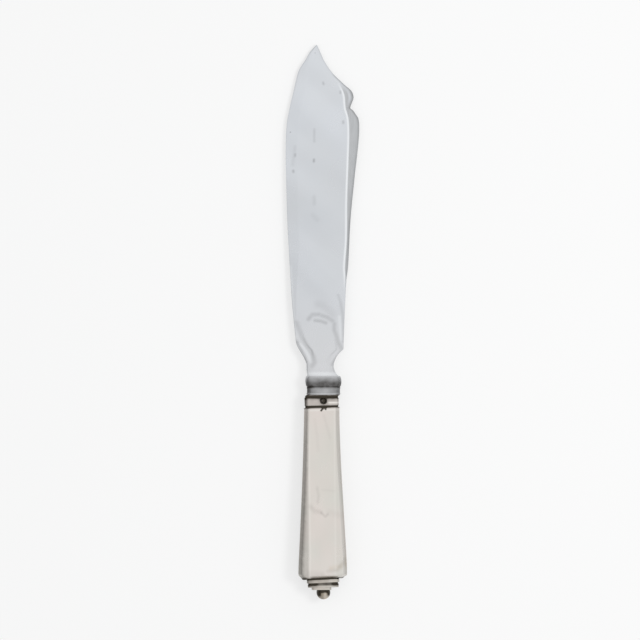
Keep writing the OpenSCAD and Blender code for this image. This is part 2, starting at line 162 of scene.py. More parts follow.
def droop(x, y):
    """How far the corners of the handle's end hang down."""
    reach = DROOP_ABOVE if y > SHELL_END else DROOP_BELOW
    return DROOP * ramp(abs(x), DROOP_X, 2 * DROOP_X) * bump_at(y - SHELL_END, reach)


def askew(x, y):
    """A point moved as the handle sits askew."""
    slope, shift, rise = askew_at(y)
    return x + shift, y + x * slope + rise - droop(x, y)


def laid(x, y, z):
    """A point of the knife's own axes in the frame, in metres."""
    x, y = askew(x, y)
    return Vector((x, y * TURN_COS + z * TURN_SIN + LAY_SHIFT, z * TURN_COS - y * TURN_SIN + LAY_RISE)) * MM


def unlaid(place):
    """A placed point back on the knife's own axes, near enough where it is little askew."""
    along, up = place.y / MM - LAY_SHIFT, place.z / MM - LAY_RISE
    y = along * TURN_COS - up * TURN_SIN
    slope, shift, rise = askew_at(y)
    x = place.x / MM - shift
    return x, y - x * slope - rise, along * TURN_SIN + up * TURN_COS


# The blade's lines: a share of its length above the bolster, then a share of the reach
EDGE_SHARES = [
    (0.0542, 0.503), (0.0723, 0.598), (0.0934, 0.702), (0.1236, 0.743), (0.229, 0.835), (0.35, 0.9),
    (0.47, 0.958), (0.59, 0.988), (0.68, 1), (0.76, 0.973), (0.814, 0.885), (0.862, 0.784),
    (0.917, 0.665), (0.935, 0.59), (0.953, 0.476), (0.977, 0.354),
]
SHOULDER_SHARES = [
    (0.08, 0.569), (0.17, 0.596), (0.289, 0.65), (0.32, 0.688), (0.35, 0.708), (0.47, 0.762),
    (0.59, 0.865), (0.712, 0.985), (0.757, 1), (0.778, 0.975), (0.79, 0.908), (0.802, 0.832),
    (0.808, 0.755),
]
SCROLL_SHARES = [
    (0.808, 0.755), (0.8145, 0.762), (0.8265, 0.805), (0.8386, 0.843), (0.8507, 0.832),
    (0.8627, 0.775), (0.881, 0.585), (0.917, 0.26), (0.953, 0.042), (0.977, -0.055),
]
RIDGE_SHARES = [
    (0.25, 0.632), (0.298, 0.628), (0.33, 0.615), (0.41, 0.665), (0.53, 0.675), (0.65, 0.712),
    (0.73, 0.732), (0.778, 0.71), (0.81, 0.635), (0.85, 0.597), (0.881, 0.476), (0.895, 0.427),
]
# The back of the neck: shares of the way out to the heel's corner, and to the bolster
HEEL_SHARES = [(0.036, 0.02), (0.0452, 0.1), (0.0542, 0.245), (0.0633, 0.42), (0.0723, 0.7), (0.08, 1)]
FLARE_OUT_SHARES = [(0, 1), (0.006, 0.6), (0.018, 0.15)]
# Places along the blade, as shares of its length
ROOT = -0.01
NECK_TOP = 0.027
HEEL_CORNER = 0.08
TONGUE_END = 0.19
RIDGE_START = 0.25
RIDGE_FULL = 0.32
NOTCH = 0.808
RIDGE_FADE = 0.85
RIDGE_END = 0.895
# The cross section's own shares
FOOT_SIDE_SHARE = 0.97
FOOT_ROUND_SHARE = 0.7
TONGUE_LEFT_SHARES = [(0.04, 0.3), (0.07, 0.28), (0.1, 0.18), (0.13, 0.13), (0.16, 0.1), (0.19, 0.08)]
TONGUE_RIGHT_SHARES = [(0.04, 0.75), (0.07, 0.86), (0.1, 0.86), (0.13, 0.82), (0.19, 0.8)]
TONGUE_SLANT_SHARE = 0.05
BEVEL_SHARES = [(0.08, 0.25), (0.19, 0.3), (0.4, 1)]
LEAST_SHARE = 0.02
TONGUE_FALL_SHARES = [(0.036, 1), (0.055, 0.62), (0.08, 0.38), (0.12, 0.2), (0.16, 0.1), (0.19, 0)]
NECK_ACROSS_SHARES = [0, 0.05, 0.17, 0.34, 0.66, 0.83, 0.95, 1]
NECK_RISE_SHARES = [0, 0.42, 0.8, 1, 1, 0.8, 0.42, 0]


def mix(a, b, t):
    return a + (b - a) * t


def clamp(value, low, high):
    return min(max(value, low), high)


def eased(t):
    t = clamp(t, 0, 1)
    return t * t * (3 - 2 * t)


def ramp(value, start, end):
    """0 at start and 1 at end, and smooth in between."""
    return eased((value - start) / (end - start))


def bump_at(distance, width):
    """1 at no distance, falling smoothly to 0 at the given width."""
    return eased(1 - abs(distance) / width)


def tilt_at(table, i):
    before, after = table[max(i - 1, 0)], table[min(i + 1, len(table) - 1)]
    return (after[1] - before[1]) / (after[0] - before[0])


def curve_at(table, x):
    """A smooth curve through a table of (place, value)."""
    i = clamp(sum(1 for p in table if p[0] <= x) - 1, 0, len(table) - 2)
    (x0, v0), (x1, v1) = table[i], table[i + 1]
    wide = x1 - x0
    t = clamp((x - x0) / wide, 0, 1)
    return (
        v0 * (1 + 2 * t) * (1 - t) ** 2 + v1 * t * t * (3 - 2 * t)
        + tilt_at(table, i) * wide * t * (1 - t) ** 2 - tilt_at(table, i + 1) * wide * t * t * (1 - t)
    )


def scaled(table, size):
    return [(place, share * size) for place, share in table]


BOLSTER_EDGE_SIDE = BAND_W / 2 * FOOT_SIDE_SHARE
BOLSTER_BACK_SIDE = BOLSTER_EDGE_SIDE - (NECK_EDGE_SIDE - NECK_BACK_SIDE) / 8
HEEL_CORNER_SIDE = SHOULDER_SHARES[0][1] * BLADE_REACH
EDGE_LINE = (
    [(0, BOLSTER_EDGE_SIDE), (0.018, NECK_EDGE_SIDE), (0.036, NECK_EDGE_SIDE)]
    + scaled(EDGE_SHARES, BLADE_REACH) + [(1, TIP_SHIFT + TIP_W / 2)]
)
SHOULDER_LINE = scaled(SHOULDER_SHARES, BLADE_REACH)
SCROLL_LINE = scaled(SCROLL_SHARES, BLADE_REACH) + [(1, TIP_W / 2 - TIP_SHIFT)]
NECK_LINE = (
    [(place, mix(NECK_BACK_SIDE, BOLSTER_BACK_SIDE, share)) for place, share in FLARE_OUT_SHARES]
    + [(NECK_TOP, NECK_BACK_SIDE)]
    + [(place, mix(NECK_BACK_SIDE, HEEL_CORNER_SIDE, share)) for place, share in HEEL_SHARES]
)
RIDGE_LINE = scaled(RIDGE_SHARES, BLADE_REACH)


def edge_side(s):
    return curve_at(EDGE_LINE, s)


def back_side(s):
    if s < HEEL_CORNER:
        return curve_at(NECK_LINE, s)
    return curve_at(SHOULDER_LINE if s < NOTCH else SCROLL_LINE, s)


def ridge_side(s):
    if s < RIDGE_START or s > RIDGE_END:
        return back_side(s)
    return min(curve_at(RIDGE_LINE, s), back_side(s))


def flat_thick(s):
    return mix(HEEL_THICK, TIP_THICK, s)


def ground_share(s):
    """How far the back is ground at a share of the blade's length."""
    start = ramp(s, RIDGE_START, RIDGE_FULL)
    return min(start, ramp(s, RIDGE_END, RIDGE_FADE))


def neck_rise(s):
    return sqrt(eased(s / NECK_TOP))


def tongue_thick(s):
    if s < NECK_TOP:
        return mix(NECK_FOOT_THICK, NECK_THICK, neck_rise(s))
    fall = 0 if s > TONGUE_END else curve_at(TONGUE_FALL_SHARES, s)
    return mix(flat_thick(s), NECK_THICK, fall)


def edge_thick(s):
    """The cutting edge is blunt at the heel and thins towards the belly."""
    return mix(HEEL_EDGE_THICK, EDGE_THICK, ramp(s, HEEL_CORNER, BEVEL_SHARES[-1][0]))


def neck_side_thick(s):
    if s < NECK_TOP:
        return mix(NECK_FOOT_THICK * FOOT_ROUND_SHARE, NECK_SIDE_THICK, neck_rise(s))
    return mix(NECK_SIDE_THICK, edge_thick(s), ramp(s, NECK_TOP, HEEL_CORNER))


def blade_lines(s):
    """The cross section's corners as (x, thickness), from the cutting edge to the back."""
    left, right = -edge_side(s), back_side(s)
    wide = right - left
    least = wide * LEAST_SHARE
    bevel = min(EDGE_BEVEL_W * curve_at(BEVEL_SHARES, s), wide / 5)
    slant = wide * TONGUE_SLANT_SHARE
    tongue_left = left + max(bevel + least, wide * curve_at(TONGUE_LEFT_SHARES, s))
    tongue_right = left + wide * curve_at(TONGUE_RIGHT_SHARES, s)
    ridge = clamp(ridge_side(s), tongue_right + least, right - least)
    flat, tongue = flat_thick(s), tongue_thick(s)
    return [
        (left, edge_thick(s)), (left + bevel, flat), (tongue_left, flat), (tongue_left + slant, tongue),
        (tongue_right - slant, tongue), (tongue_right, flat), (ridge, flat),
        (right, mix(flat, min(BACK_THICK, flat), ground_share(s))),
    ]


def neck_lines(s):
    left = -edge_side(s)
    wide = back_side(s) - left
    thin, thick = neck_side_thick(s), tongue_thick(s)
    return [
        (left + wide * across, mix(thin, thick, rise))
        for across, rise in zip(NECK_ACROSS_SHARES, NECK_RISE_SHARES)
    ]


def neck_blend(s):
    return ramp(s, HEEL_CORNER, NECK_TOP)


def section_lines(s):
    """The corners of one cross section as (x, half thickness), with its two ends on the middle plane."""
    blend = neck_blend(s)
    lines = [
        (mix(a[0], b[0], blend), mix(a[1], b[1], blend) / 2)
        for a, b in zip(blade_lines(s), neck_lines(s))
    ]
    return [(lines[0][0], 0)] + lines + [(lines[-1][0], 0)]


ROUND_STEPS = 3


def toward(a, b, distance):
    a, b = Vector(a), Vector(b)
    return a + (b - a).normalized() * distance


def curved(start, corner, end, steps):
    """A rounded corner between two points, without its end."""
    ts = [k / steps for k in range(steps)]
    return [start * (1 - t) ** 2 + corner * 2 * t * (1 - t) + end * t * t for t in ts]


def corner_points(before, corner, after, reach):
    """A corner rounded off over the given reach, within the lines on both its sides."""
    size = min(reach, 0.45 * dist(before, corner), 0.45 * dist(after, corner))
    end = toward(corner, after, size)
    return curved(toward(corner, before, size), Vector(corner), end, ROUND_STEPS) + [end]


def rounded(points, reach, counts, closed=False):
    """A line through points with its corners rounded, each straight stretch cut into its count."""
    n = len(points)
    corners = []
    for i, point in enumerate(points):
        if not closed and i in (0, n - 1):
            corners.append([Vector(point)])
        else:
            corners.append(corner_points(points[i - 1], point, points[(i + 1) % n], reach))
    line = []
    for i, corner in enumerate(corners):
        line += corner
        if closed or i < n - 1:
            start, end, count = corner[-1], corners[(i + 1) % n][0], counts[i % len(counts)]
            line += [start.lerp(end, k / count) for k in range(1, count)]
    return line


def placed(name, data):
    """A new object in the scene."""
    obj = bpy.data.objects.new(name, data)
    bpy.context.scene.collection.objects.link(obj)
    return obj


class Skin:
    """A mesh in the making: points in the knife's axes, each with its tones, and faces."""

    def __init__(self):
        self.points = []
        self.tones = []
        self.faces = []

    def grid(self, rows, tone, wrap=True, loop=False):
        """Quads over rows of points of one length. wrap closes each row, loop joins last to first."""
        base, n = len(self.points), len(rows[0])
        for row in rows:
            self.points += [tuple(p) for p in row]
            self.tones += [tone(*p) for p in row]
        around = n if wrap else n - 1
        along = len(rows) if loop else len(rows) - 1
        for i in range(along):
            a, b = base + i * n, base + (i + 1) % len(rows) * n
            self.faces += [(a + k, a + (k + 1) % n, b + (k + 1) % n, b + k) for k in range(around)]
        return base, base + (len(rows) - 1) * n

    def strip(self, pairs):
        """Quads along two lines of points, given as pairs of one point of each."""
        self.faces += [(a, b, d, c) for (a, b), (c, d) in zip(pairs, pairs[1:])]

    def body(self, rows, tone):
        """A closed body: rings of points, and a face over the first and the last."""
        for start in self.grid(rows, tone):
            self.faces.append(tuple(range(start, start + len(rows[0]))))

    def zip_cap(self, start, n):
        """Closes a ring whose lower half mirrors its upper half with narrow faces across it."""
        for k in range(n // 2):
            face = [start + k, start + k + 1, start + n - k - 1, start + (n - k) % n]
            self.faces.append(tuple(dict.fromkeys(face)))

    def piece(self, name):
        mesh = bpy.data.meshes.new(name)
        mesh.from_pydata([laid(*p) for p in self.points], [], self.faces)
        set_tones(mesh, self.tones)
        mesh.validate()
        obj = placed(name, mesh)
        face_outward(obj)
        return obj


# Each point carries its tones: tarnish with painted shade that darkens it, worn edges with painted
# highlights that brighten it, and grind, a ground strip's coarser finish on steel and a brassy stain on
# silver
TONES = ("patina_and_shade", "wear_and_highlight", "grind")
SHARP_ANGLE = radians(30)


def set_tones(mesh, tones):
    for key, values in zip(TONES, zip(*tones)):
        layer = mesh.attributes.get(key) or mesh.attributes.new(key, "FLOAT", "POINT")
        layer.data.foreach_set("value", values)


def face_outward(obj):
    work = bmesh.new()
    work.from_mesh(obj.data)
    bmesh.ops.recalc_face_normals(work, faces=work.faces)
    work.to_mesh(obj.data)
    work.free()


def cut(obj, cutter):
    """Takes the cutter out of a piece's mesh."""
    tool = obj.modifiers.new("cut", "BOOLEAN")
    tool.operation = "DIFFERENCE"
    tool.solver = "EXACT"
    tool.object = cutter
    graph = bpy.context.evaluated_depsgraph_get()
    mesh = bpy.data.meshes.new_from_object(obj.evaluated_get(graph), depsgraph=graph)
    obj.modifiers.clear()
    old, obj.data = obj.data, mesh
    bpy.data.meshes.remove(old)
    bpy.data.objects.remove(cutter)


def dress(obj, material, slot, *nodes):
    """Smooths a piece's shading, gives it its material and puts it in the place of its CAD nodes."""
    mesh = obj.data
    mesh.shade_smooth()
    mesh.set_sharp_from_angle(angle=SHARP_ANGLE)
    normals = obj.modifiers.new("normals", "WEIGHTED_NORMAL")
    normals.keep_sharp = True
    mesh.materials.clear()
    mesh.materials.append(material)
    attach(obj, "root")
    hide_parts(*nodes)


# Where the blade's cross sections lie: (share of its length, distance between them from there on)
STATION_STOPS = [
    (ROOT, 0.5), (0.02, 0.6), (0.1, 0.5), (0.14, 0.28), (0.2, 0.8), (0.6, 0.5), (0.77, 0.4),
    (0.9, 0.5),
]
SPAN_COUNTS = [1, 10, 4, 4, 46, 4, 12, 8, 1]
BLADE_REACH_ROUND = 0.35
NECK_REACH_ROUND = 1.6


def blade_stations():
    places = []
    for i, (start, step) in enumerate(STATION_STOPS):
        end = STATION_STOPS[i + 1][0] if i + 1 < len(STATION_STOPS) else 1
        count = ceil((end - start) * BLADE_LEN / step)
        places += [mix(start, end, k / count) for k in range(count)]
    return places + [1]


def segment_distance(x, y, a, b):
    ax, ay, bx, by = *a, *b
    length = (bx - ax) ** 2 + (by - ay) ** 2
    t = clamp(((x - ax) * (bx - ax) + (y - ay) * (by - ay)) / length, 0, 1)
    return hypot(x - mix(ax, bx, t), y - mix(ay, by, t))


def line_distance(x, y, line):
    return min(segment_distance(x, y, line[i], line[i + 1]) for i in range(len(line) - 1))


# A plain arched groove in the heel, and the dash under it
ARCH_LINE = [(-6.9, 36.8), (-5, 39), (-1.6, 39.2), (-0.3, 38.6), (2.2, 37.8), (5, 36)]
DASH_LINE = [(-3.6, 36.2), (-0.8, 35.9), (1.6, 35)]
ARCH_DEPTH = 0.08
ARCH_W = 1.4
ARCH_Y = 37.5
ARCH_ROOM = 6


def arch_relief(x, y):
    """The shallow arched groove in the front of the heel."""
    if abs(y - ARCH_Y) > ARCH_ROOM:
        return 0
    groove = bump_at(line_distance(x, y, ARCH_LINE), ARCH_W)
    dash = bump_at(line_distance(x, y, DASH_LINE), ARCH_W)
    return -ARCH_DEPTH * max(groove, dash)


# Soft dark lines of painted shade along the heel's relief and its arched groove: (line, width, strength)
HEEL_SHADE_LINES = [
    (ARCH_LINE[:3], 1.8, 0.2), (ARCH_LINE[3:], 1.9, 0.2), (DASH_LINE, 1.5, 0.22),
    ([(6.6, 51.5), (8.7, 45.4), (9.9, 38.9), (10.1, 34), (9.9, 25.9)], 1.3, 0.14),
    ([(5.8, 34.6), (5.7, 31.6), (7.2, 27.7), (7.7, 25.2), (9.3, 22.8)], 1.7, 0.19),
    ([(9.6, 22.4), (6.9, 18.9), (5.4, 16.6), (4.4, 14.6)], 1.0, 0.17),
    ([(8.4, 24), (8.9, 22.8)], 1.8, 0.17),
    ([(-12.6, 35.2), (-10.4, 28.8), (-8.2, 24.8), (-5.9, 21.4), (-4.2, 18.4), (-3.7, 15.9), (-5, 13.9)],
     1.9, 0.17),
    ([(-12.3, 25.6), (-10.6, 22.4), (-9, 19.4), (-7.8, 16)], 1.1, 0.2),
    ([(-2, 44), (0, 43.4), (2.6, 41.4), (4.6, 39)], 3.6, 0.09),
]
# Soft painted highlights between them, all under the height given next
HEEL_HIGHLIGHTS = [
    ([(-10.9, 24.6), (-8.2, 21.6), (-6.7, 18.9), (-5.9, 16)], 1.1, 0.4),
    ([(8.2, 38), (8.6, 33), (9.2, 27)], 1.3, 0.35),
    ([(-16.6, 62), (-15.6, 47), (-14.4, 36), (-13.2, 28)], 2.2, 0.55),
]
HEEL_HIGHLIGHT_END = 65
# Pits and stains of the blade's face: (line, width, strength)
BLADE_MARKS = [
    ([(-13.4, 117.2), (-13.4, 116.4)], 1, 0.3), ([(-4.2, 114.6), (-4.2, 113.7)], 1, 0.34),
    ([(-14.3, 109.2), (-14.2, 108.6)], 1, 0.3), ([(10.1, 133.2), (10.1, 132.6)], 1.1, 0.25),
    ([(0.3, 152.2), (0.5, 151.5)], 1, 0.22), ([(8.7, 147.8), (8.7, 147.2)], 1, 0.22),
    ([(-4, 129.4), (-4, 123.6)], 1.1, 0.14), ([(-4.1, 96.3), (-4, 93)], 1.6, 0.1),
    ([(-4.6, 87.5), (-2.6, 85.2)], 2.2, 0.06), ([(-13.4, 121), (-14.6, 112)], 1.3, 0.08),
]
# Further than this from its first point no mark shows
MARK_ROOM = 30
# Tones of the blade's strip, scroll, rim, tip and root: painted shade on the rim and on the tip's edges,
# painted highlights beside the ridge and above the root
HEEL_END = 0.247
STRIP_EDGE_W = 0.5
RIDGE_HIGHLIGHT_W = 0.9
RIDGE_HIGHLIGHT_OFFSET = 0.5
OUTER_EDGE_W = 1.5
CREST = 0.845
CREST_REACH = 0.04
CREST_SIDE = 0.55
CREST_W = 1.1
CREST_POLISH = 0.75
RIM_SHADE = (0.25, 0.42)
TIP_SHADE = 0.12
ROOT_HIGHLIGHT = 0.65
ROOT_HIGHLIGHT_W = 1.6


def blade_shade_and_marks(s, x, y, right):
    """Painted shade on the rim of the back and on the tip's edges, painted shade lines in the heel, and the
    blade's pits and stains.
    """
    rim_shade = mix(*RIM_SHADE, ramp(s, 0.75, 0.8)) * ramp(s, 0.3, 0.4) * ramp(s, 0.92, 0.9)
    tip_shade = TIP_SHADE * ramp(s, 0.8, 0.9) * bump_at(min(x + edge_side(s), right - x), 1)
    marks = HEEL_SHADE_LINES if s < HEEL_END else BLADE_MARKS
    near = [mark_at(x, y, mark) for mark in marks if abs(mark[0][0][1] - y) < MARK_ROOM]
    return max([rim_shade * ramp(x, right - OUTER_EDGE_W, right), tip_shade] + near)


def blade_tone(x, y, z):
    s = clamp((y - BOLSTER_LEN) / BLADE_LEN, 0, 1)
    ground, ridge, right = ground_share(s), ridge_side(s), back_side(s)
    crest = bump_at(s - CREST, CREST_REACH) * bump_at(x - mix(ridge, right, CREST_SIDE), CREST_W)
    grind = eased((x - ridge) / STRIP_EDGE_W + 0.5) * ground * (1 - CREST_POLISH * crest)
    # Painted highlights beside the ridge, above the root and in the heel
    wear_and_highlight = bump_at(x - ridge + RIDGE_HIGHLIGHT_OFFSET, RIDGE_HIGHLIGHT_W) * ground
    root = ROOT_HIGHLIGHT * bump_at(y - BOLSTER_LEN - 1, ROOT_HIGHLIGHT_W)
    lights = [mark_at(x, y, mark) for mark in HEEL_HIGHLIGHTS] if y < HEEL_HIGHLIGHT_END else []
    return blade_shade_and_marks(s, x, y, right) if z > 0 else 0, max([wear_and_highlight, root] + lights), grind


def mark_at(x, y, mark):
    line, width, strength = mark
    return strength * bump_at(line_distance(x, y, line), width)


def blade_row(s):
    reach = mix(BLADE_REACH_ROUND, NECK_REACH_ROUND, neck_blend(s))
    line = rounded(section_lines(s), reach, SPAN_COUNTS)
    y = BOLSTER_LEN + s * BLADE_LEN
    front = [(x, y, half + (arch_relief(x, y) if half > 0 else 0)) for x, half in line]
    return front + [(x, y, -half) for x, half in line[-2:0:-1]]


# Bolster mesh
CUSHION_RISE = (CUSHION_W - BAND_W) / 2
CUSHION_STEPS = 20
RIB_PLACES = (RIB_R + BAND_LEN / 20, BAND_LEN - RIB_R - BAND_LEN / 20)
RIB_STEPS = 8


def half_round(start, length, rise, steps):
    """Points of a half round moulding as (height, rise)."""
    turns = [pi * (1 - i / steps) for i in range(steps + 1)]
    return [(start + length * (1 + cos(t)) / 2, rise * sin(t)) for t in turns]


def bolster_profile():
    ribs = [half_round(place - RIB_R, 2 * RIB_R, RIB_R / 2, RIB_STEPS) for place in RIB_PLACES]
    return [(0, 0)] + ribs[0] + ribs[1] + half_round(BAND_LEN, CUSHION_LEN, CUSHION_RISE, CUSHION_STEPS)


def level(y, ring):
    """A ring of (x, z) at a height."""
    return [(x, y, z) for x, z in ring]


def box_ring(half_w, half_t, corner, counts=(24, 6)):
    """A rectangle with cut and rounded corners."""
    w, t, c = half_w, half_t, corner
    upper = [(-w, t - c), (c - w, t), (w - c, t), (w, t - c)]
    points = upper + [(x, -z) for x, z in reversed(upper)]
    long, short = counts
    return rounded(points, corner / 2, [1, long, 1, short], closed=True)


# Darkening of the bolster by height, partly tarnish and partly painted shade of its rounded mouldings:
# the hollow under the cushion and the grooves are the darkest
BOLSTER_SHADE_AND_PATINA = [
    (-0.5, 0.6), (-0.1, 0.45), (0.2, 0.27), (0.7, 0.26), (1.15, 0.5), (1.6, 0.5), (2.1, 0.41),
    (2.6, 0.4), (3.1, 0.52), (3.6, 0.8), (4.1, 0.93), (4.6, 0.93), (5.4, 0.9), (6, 0.85), (6.5, 0.74),
    (7, 0.65), (7.5, 0.58), (8, 0.48), (8.5, 0.36), (9, 0.14), (9.2, 0.08),
]
# Painted shade on the bolster's two sides, deeper on the left
BOLSTER_LEFT_SHADE = 0.5
BOLSTER_RIGHT_SHADE = 0.3


def bolster_tone(x, y, z):
    # Painted shade on the sides of the band, deeper on the left
    side = mix(BOLSTER_RIGHT_SHADE, BOLSTER_LEFT_SHADE, eased(0.5 - x / BAND_W)) * (2 * x / BAND_W) ** 2
    side *= ramp(y, BAND_LEN + 0.5, BAND_LEN - 0.5)
    return clamp(curve_at(BOLSTER_SHADE_AND_PATINA, y) + side, 0, 1), 0, 0


def bolster_row(place, rise):
    half_w = BAND_W / 2 + rise
    half_t = BAND_THICK / 2 + rise * (CUSHION_THICK - BAND_THICK) / (CUSHION_W - BAND_W)
    return level(place, box_ring(half_w, half_t, BOLSTER_CORNER))


def tang_row(y):
    t = -y / TANG_LEN
    half_w, half_t = mix(TANG_W, TANG_END_W, t) / 2, mix(TANG_THICK, TANG_END_THICK, t) / 2
    return level(y, box_ring(half_w, half_t, TANG_END_THICK / 8, (2, 2)))


def no_tone(*place):
    return 0, 0, 0


def make_blade():
    skin = Skin()
    rows = [blade_row(s) for s in blade_stations()]
    for end in skin.grid(rows, blade_tone):
        skin.zip_cap(end, len(rows[0]))
    skin.body([bolster_row(*p) for p in bolster_profile()], bolster_tone)
    skin.body([tang_row(y) for y in (BAND_LEN / 2, 0, -TANG_LEN)], no_tone)
    return skin.piece("steel_blade")


# Handle: how it widens, as (share of the way down, share of the widening)
FLARE_SHARES = [(0, 0), (0.14, 0.02), (0.37, 0.2), (0.6, 0.485), (0.82, 0.785), (0.94, 0.95), (1, 1)]
# How much fuller its shoulder is
SHOULDER_SWELL = 0.8


def handle_half_w(y):
    if y < SHOULDER_TOP:
        down = (SHOULDER_TOP - y) / SHOULDER_LEN
        return mix(BASE_W, SHOULDER_END_W, down) / 2 + SHOULDER_SWELL * eased(down * 2)
    return mix(TOP_W, BASE_W, curve_at(FLARE_SHARES, y / SHOULDER_TOP)) / 2


def handle_half_t(y):
    if y < SHOULDER_TOP:
        return mix(BASE_THICK, SHOULDER_END_THICK, (SHOULDER_TOP - y) / SHOULDER_LEN) / 2
    return mix(TOP_THICK, BASE_THICK, y / SHOULDER_TOP) / 2


FACE_COUNT = 72
SIDE_COUNTS = [4, 4, 5]
FACET_ROUND = 0.28
FACE_CROWD = 1.5


def half_section(half_w, half_t, facet_w):
    """The corners of the handle's front half, from its left side to its right."""
    out = half_w - facet_w
    upper = half_t - (out - FACE_W / 2) * tan(FACE_SLOPE)
    lower = upper - facet_w * tan(SIDE_SLOPE)
    right = [(FACE_W / 2, half_t), (out, upper), (half_w, lower)]
    return [(-x, z) for x, z in reversed(right)] + right


def crowded(t):
    """Places across the face, closer together in its middle."""
    return copysign(abs(t) ** FACE_CROWD, t)


def shell_line(half_w, half_t, reach):
    """Points over the front half of the handle, from one seam to the other."""
    corners = half_section(half_w, half_t, FACET_W)
    counts = SIDE_COUNTS + [1] + SIDE_COUNTS[::-1]
    line = rounded([(-half_w, 0)] + corners + [(half_w, 0)], reach, counts)
    middle = len(line) // 2
    left, right = line[middle - 1], line[middle]
    shares = [(1 + crowded(2 * k / FACE_COUNT - 1)) / 2 for k in range(1, FACE_COUNT)]
    return line[:middle] + [left.lerp(right, share) for share in shares] + line[middle:]


TEETH = [
    ([(1.1, -6.2), (0.4, -6.9), (-0.3, -7.6)], 0.6), ([(1.3, -6.2), (1.9, -7.1)], 0.55),
    ([(0.2, -6.2), (1.9, -6.4)], 0.75),
]


def tooth_relief(x, y):
    """The slanting teeth under the collar."""
    return -TOOTH_DEPTH * min(1, 1.5 * max(bump_at(line_distance(x, y, line), w) for line, w in TEETH))


# The rows down the handle: fine under the collar and round the corner of the shoulder
TOP_ROW_STEP = 0.16
TOP_ROWS_LEN = 2.4
BODY_ROWS = 120
SHOULDER_ROUND = 0.8
END_ROUND = 0.25


def handle_outline():
    """Rows as (height, half width, half thickness) from the collar to the end face."""
    def at(y):
        return Vector((y, handle_half_w(y), handle_half_t(y)))
    count = round(TOP_ROWS_LEN / TOP_ROW_STEP)
    rows = [at(SHELL_TOP - TOP_ROWS_LEN * k / count) for k in range(count)]
    start, end = SHELL_TOP - TOP_ROWS_LEN, SHOULDER_TOP + SHOULDER_ROUND
    rows += [at(mix(start, end, k / BODY_ROWS)) for k in range(BODY_ROWS)]
    low = at(SHOULDER_TOP - SHOULDER_ROUND)
    rows += curved(at(end), at(SHOULDER_TOP), low, 6)
    rows += [low.lerp(at(SHELL_END + END_ROUND), k / 4) for k in range(1, 4)]
    corner = at(SHELL_END)
    inner = corner - Vector((0, END_ROUND, END_ROUND))
    return rows + curved(at(SHELL_END + END_ROUND), corner, inner, 4) + [inner]


def peg_line(count, radius):
    turns = [pi * (1 - k / (count - 1)) for k in range(count)]
    return [(radius * cos(t), radius * sin(t)) for t in turns]


def shell_rows(side, outline, reach, relief):
    rows = []
    for y, half_w, half_t in outline:
        row = []
        for x, z in shell_line(half_w, half_t, reach):
            dip = relief(x, y) if z > half_t - TOOTH_DEPTH / 2 else 0
            row.append((x, y, side * (z + dip)))
        rows.append(row)
    y = outline[-1][0]
    last = rows[-1]
    hole = peg_line(len(last), PEG_R + FIT_GAP)
    for t in (0.5, 1):
        rows.append([(mix(a[0], b[0], t), y, mix(a[2], side * b[1], t)) for a, b in zip(last, hole)])
    return rows


def inner_outline(outline):
    """The rows of the hollow: the outer rows moved in by the wall."""
    scale = (SHELL_LEN - WALL) / SHELL_LEN
    places = [SHELL_TOP + (max(y, SHELL_END) - SHELL_TOP) * scale for y, _, _ in outline]
    return [(y, handle_half_w(y) - WALL, handle_half_t(y) - WALL) for y in places]


def make_shell(side, name):
    outline = handle_outline()
    outer = shell_rows(side, outline, FACET_ROUND, tooth_relief)
    inner = shell_rows(side, inner_outline(outline), FACET_ROUND / 4, lambda x, y: 0)
    skin = Skin()
    marks = (SMUDGES, STAINS) if side > 0 else ([], [])
    n = len(outer[0])
    start, _ = skin.grid(outer, lambda x, y, z: shell_tone(x, y, *marks), wrap=False)
    inside, _ = skin.grid(inner, dark_tone, wrap=False)
    last = len(outer) - 1
    for row in (0, last):
        skin.strip([(start + row * n + k, inside + row * n + k) for k in range(n)])
    for column in (0, n - 1):
        skin.strip([(start + i * n + column, inside + i * n + column) for i in range(last + 1)])
    return skin.piece(name)


# Marks of wear and tarnish on the handle's front: (line, width, strength)
SMUDGES = [
    ([(-2.4, -45), (-1.8, -49), (-2.2, -52)], 1.3, 0.1),
    ([(-5.8, -54), (-4, -56.2), (-1.2, -56.8)], 2, 0.12),
    ([(-0.6, -57), (1.4, -59), (2.6, -57.8)], 0.9, 0.17),
    ([(3.4, -57), (8.6, -58.4)], 2.6, 0.05),
    ([(0, -46), (6, -46.6)], 1, 0.05),
    ([(2.4, -84.6), (7, -84.2), (10.4, -81.6)], 1.3, 0.12),
    ([(8, -82.6), (10.8, -79.6)], 1.1, 0.12),
    ([(1, -10), (2.4, -15), (4.2, -21)], 1.3, 0.05),
    ([(-3.4, -12), (-2.2, -20), (-1.8, -27)], 1.4, 0.04),
    ([(-7, -85.4), (0, -85.8)], 1.8, 0.08),
]
# Brassy stains beside them
STAINS = [([(4, -83.4), (8, -83), (10.4, -81.4)], 1.9, 0.36), ([(10.6, -78.5), (11.4, -83)], 1.4, 0.25)]
# Worn edges of the face with painted highlights on them, brighter on the left; painted shade at the end's
# corners, deeper on the right; and the most darkening, tarnish and painted shade, of any point
EDGE_WEAR_AND_SHEEN_W = 0.8
LEFT_EDGE_WEAR_AND_SHEEN = 0.55
RIGHT_EDGE_WEAR_AND_SHEEN = 0.3
LEFT_END_SHADE = 0.2
RIGHT_END_SHADE = 0.9
MOST_DARKENING = 1.2


